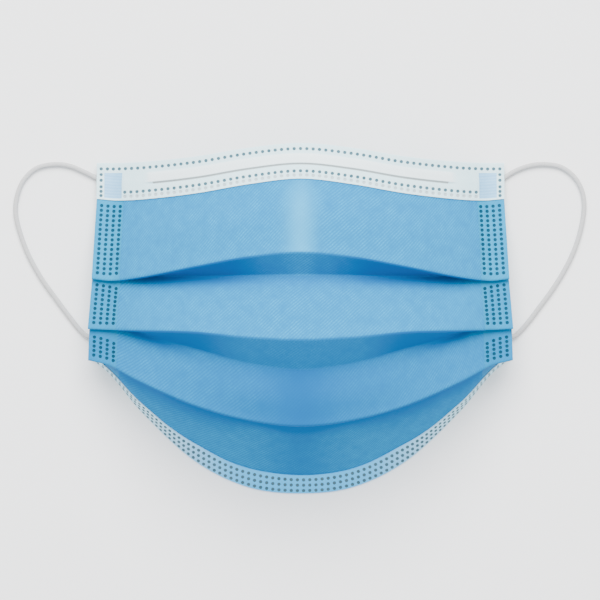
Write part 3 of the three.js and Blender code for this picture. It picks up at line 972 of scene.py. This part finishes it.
def chin_binding():
    """The white strip folded round the chin edge, with three rows of dots."""
    white, dot = range(2)
    dense = np.linspace(-1, 1, 801)
    travel = lengths_along(chin_line(dense)[None], 1)[0]
    half = travel[-1] / 2
    even, dots = dotted_lines(half - STRIP_EDGE, CHIN_DOT_PITCH)
    places = np.array([-half, *even, half])
    u = np.interp(places + half, travel, dense)
    rows, front, back = fold_round(*chin_surface(u, CHIN_LINES), SHEET / 2 + STRIP / 2 + SLACK)
    through = CHIN_SEE_THROUGH
    blue = through["seam"] + through["more"] * np.exp(-(u / through["width"]) ** 4)
    tone = np.broadcast_to(blue, rows.shape[:2])[..., None]
    skin = Skin(rows, STRIP, {"cloth_place": place_field(rows) * MM, "tone": tone})
    levels = nearest(CHIN_LINES, CHIN_ROWS)
    columns = nearest(places, dots)
    both_legs = {(leg[k], j): dot for leg in (front, back) for k in levels for j in columns}
    skin.add_side(0, white, both_legs, DOT_DEPTH["strip"])
    skin.add_side(1, white)
    skin.close_edges()
    made = skin.build("chin_strip", [WHITE, WHITE_WELD])
    settle(made, "bottom_binding")
    return made


def nose_wire():
    """A flat ribbed strip of plastic inside the nose strip."""
    tips = WIRE["reach"] - np.array(WIRE_TIP["distance"])
    even = np.linspace(-tips[0], tips[0], WIRE_CELLS["along"] + 1)
    x = np.concatenate([-tips[:0:-1], even, tips[1:]])
    share = np.linspace(0, 1, WIRE_CELLS["across"] + 1)
    grid, _ = nose_surface(x / NOSE_HALF_WIDTH, WIRE["start"] + WIRE["width"] * share)
    rib = np.abs(np.cos(2 * math.pi * share)) ** WIRE_RIB["power"]
    rounded = np.sqrt(np.clip(1 - (2 * share - 1) ** WIRE_RIB["rounding"], WIRE_RIB["edge"], 1))
    profile = WIRE_RIB["thin"] + (1 - WIRE_RIB["thin"]) * rib * rounded
    ends = np.interp(np.abs(x), tips, WIRE_TIP["share"])
    skin = Skin(grid, WIRE["thickness"] * profile[:, None] * ends, {})
    skin.add_side(0, 0)
    skin.add_side(1, 0)
    skin.close_edges()
    settle(skin.build("wire_strip", [PLASTIC]), "nose_wire")


# Ends of the loops

def landing(surface, run, side):
    """Points on the back of a strip where a loop's end lies, with the normals out of it."""
    out = SHEET / 2 + STRIP + SLACK + TAIL["gap"]
    shares = side * np.linspace(run["start"], run["end"], LANDING_POINTS)
    heights = np.linspace(*run["height"], LANDING_POINTS)
    points, normals = [], []
    for share, height in zip(shares, heights):
        around = share + LANDING_ASIDE * np.array([-1, 0, 1])
        grid, normal = surface(around, [height, height + run["step"]])
        points.append(grid[0, 1] - normal[0, 1] * out)
        normals.append(-normal[0, 1])
    return np.array(points), np.array(normals)


def join(start, leave, end, arrive):
    """Points on a smooth curve from start up to end, which leaves and arrives along two directions."""
    t = np.linspace(0, 1, TAIL_JOIN["steps"] + 1)[:-1, None]
    reach = np.linalg.norm(end - start)
    return (
        (1 + 2 * t) * (1 - t) ** 2 * start + t * (1 - t) ** 2 * leave * reach
        + t ** 2 * (3 - 2 * t) * end + t ** 2 * (t - 1) * arrive * reach
    )


def squared(value, flat):
    """A sine or cosine of a round section, drawn by a share towards that of a squared one."""
    return blend(value, np.sign(value) * np.abs(value) ** TAIL["power"], flat)


def loop_tail(name, node, route, run):
    """The end of a loop at the start of its route, flattened where it is welded on. run is where it lies, as
    points of the strip's back and their outward normals, from the seam inwards."""
    start, before = route[:2]
    points, normals = run
    lying = points + normals * TAIL["thickness"] / 2
    joined = join(start, unit(start - before), lying[0], unit(points[1] - points[0]))
    path = np.concatenate([joined, lying])
    rough_up = np.concatenate([np.repeat(normals[:1], TAIL_JOIN["steps"], axis=0), normals])
    side, up = sections(path, rough_up)
    total = lengths_along(path[:, None], 0)[:, 0]
    reach = np.linalg.norm(lying[0] - start)
    flattened = smooth_step(total, 0, TAIL_JOIN["flat"] * reach)
    widened = smooth_step(total, TAIL_JOIN["widen"] * reach, reach + TAIL_JOIN["widening"])
    width = blend(LOOP_DIAMETER, TAIL["width"], widened)
    width *= np.where(total > total[-1] - TAIL_TIP["length"], TAIL_TIP["width"], 1)
    thick = blend(LOOP_DIAMETER, TAIL["thickness"], flattened)
    thick *= 1 + TAIL["rib"] * widened * np.cos(2 * math.pi * total / TAIL["rib_pitch"])
    turn = 2 * math.pi * np.arange(TAIL["sides"]) / TAIL["sides"]
    over = squared(np.cos(turn), flattened[:, None]) * width[:, None] / 2
    high = squared(np.sin(turn), flattened[:, None]) * thick[:, None] / 2
    rings = path[:, None] + side[:, None] * over[..., None] + up[:, None] * high[..., None]
    rings[..., 2] = np.maximum(rings[..., 2], FLOOR_GAP)
    settle(tube(name, rings, ELASTIC), node)


# Stage

def stage_floor():
    """A pale floor, wide enough for every view."""
    corners = [(-1, -1, 0), (1, -1, 0), (1, 1, 0), (-1, 1, 0)]
    look = plain_material("floor", grey(0.93), grey(0.96), scale=40.0, roughness=0.9, height=0.01)
    floor = make_object("floor", np.array(corners) * FLOOR_REACH, [[0, 1, 2, 3]], [0], [look])


def camera():
    data = bpy.data.cameras.new("camera")
    data.sensor_width = SENSOR_WIDTH
    data.lens = SENSOR_WIDTH * CAMERA_HEIGHT / FRAME_WIDTH
    data.clip_end = 100.0
    made = add_object("camera", data)
    made.location = (FRAME_CENTRE[0] * MM, FRAME_CENTRE[1] * MM, CAMERA_HEIGHT * MM)
    bpy.context.scene.camera = made


def key_light():
    data = bpy.data.lights.new("key", "AREA")
    data.shape = "DISK"
    data.size = KEY_LIGHT["size"]
    data.energy = KEY_LIGHT["power"]
    made = add_object("key", data)
    made.location = KEY_LIGHT["place"]
    direction = Vector(KEY_LIGHT["target"]) - Vector(KEY_LIGHT["place"])
    made.rotation_mode = "QUATERNION"
    made.rotation_quaternion = direction.to_track_quat("-Z", "Y")


def sky():
    world = bpy.data.worlds.new("studio")
    world.use_nodes = True
    background = world.node_tree.nodes["Background"]
    background.inputs["Color"].default_value = SKY["colour"]
    background.inputs["Strength"].default_value = SKY["strength"]
    bpy.context.scene.world = world


camera()
sides = [(-1, "left", full_route(LEFT_ROUTE, -1)), (1, "right", full_route(RIGHT_ROUTE, 1))]
for _, word, route in sides:
    ear_loop("elastic_" + word, "ear_loop_" + word, route)
sheet = mask_sheet()
nose_strip = top_binding()
chin_strip = chin_binding()
nose_wire()
for side, word, route in sides:
    top_run = landing(nose_surface, TOP_LANDING, side)
    chin_run = landing(chin_surface, CHIN_LANDING, side)
    loop_tail("tail_top_" + word, "loop_anchor_top_" + word, route, top_run)
    loop_tail("tail_chin_" + word, "loop_anchor_bottom_" + word, route[::-1], chin_run)
stage_floor()
sky()
key_light()
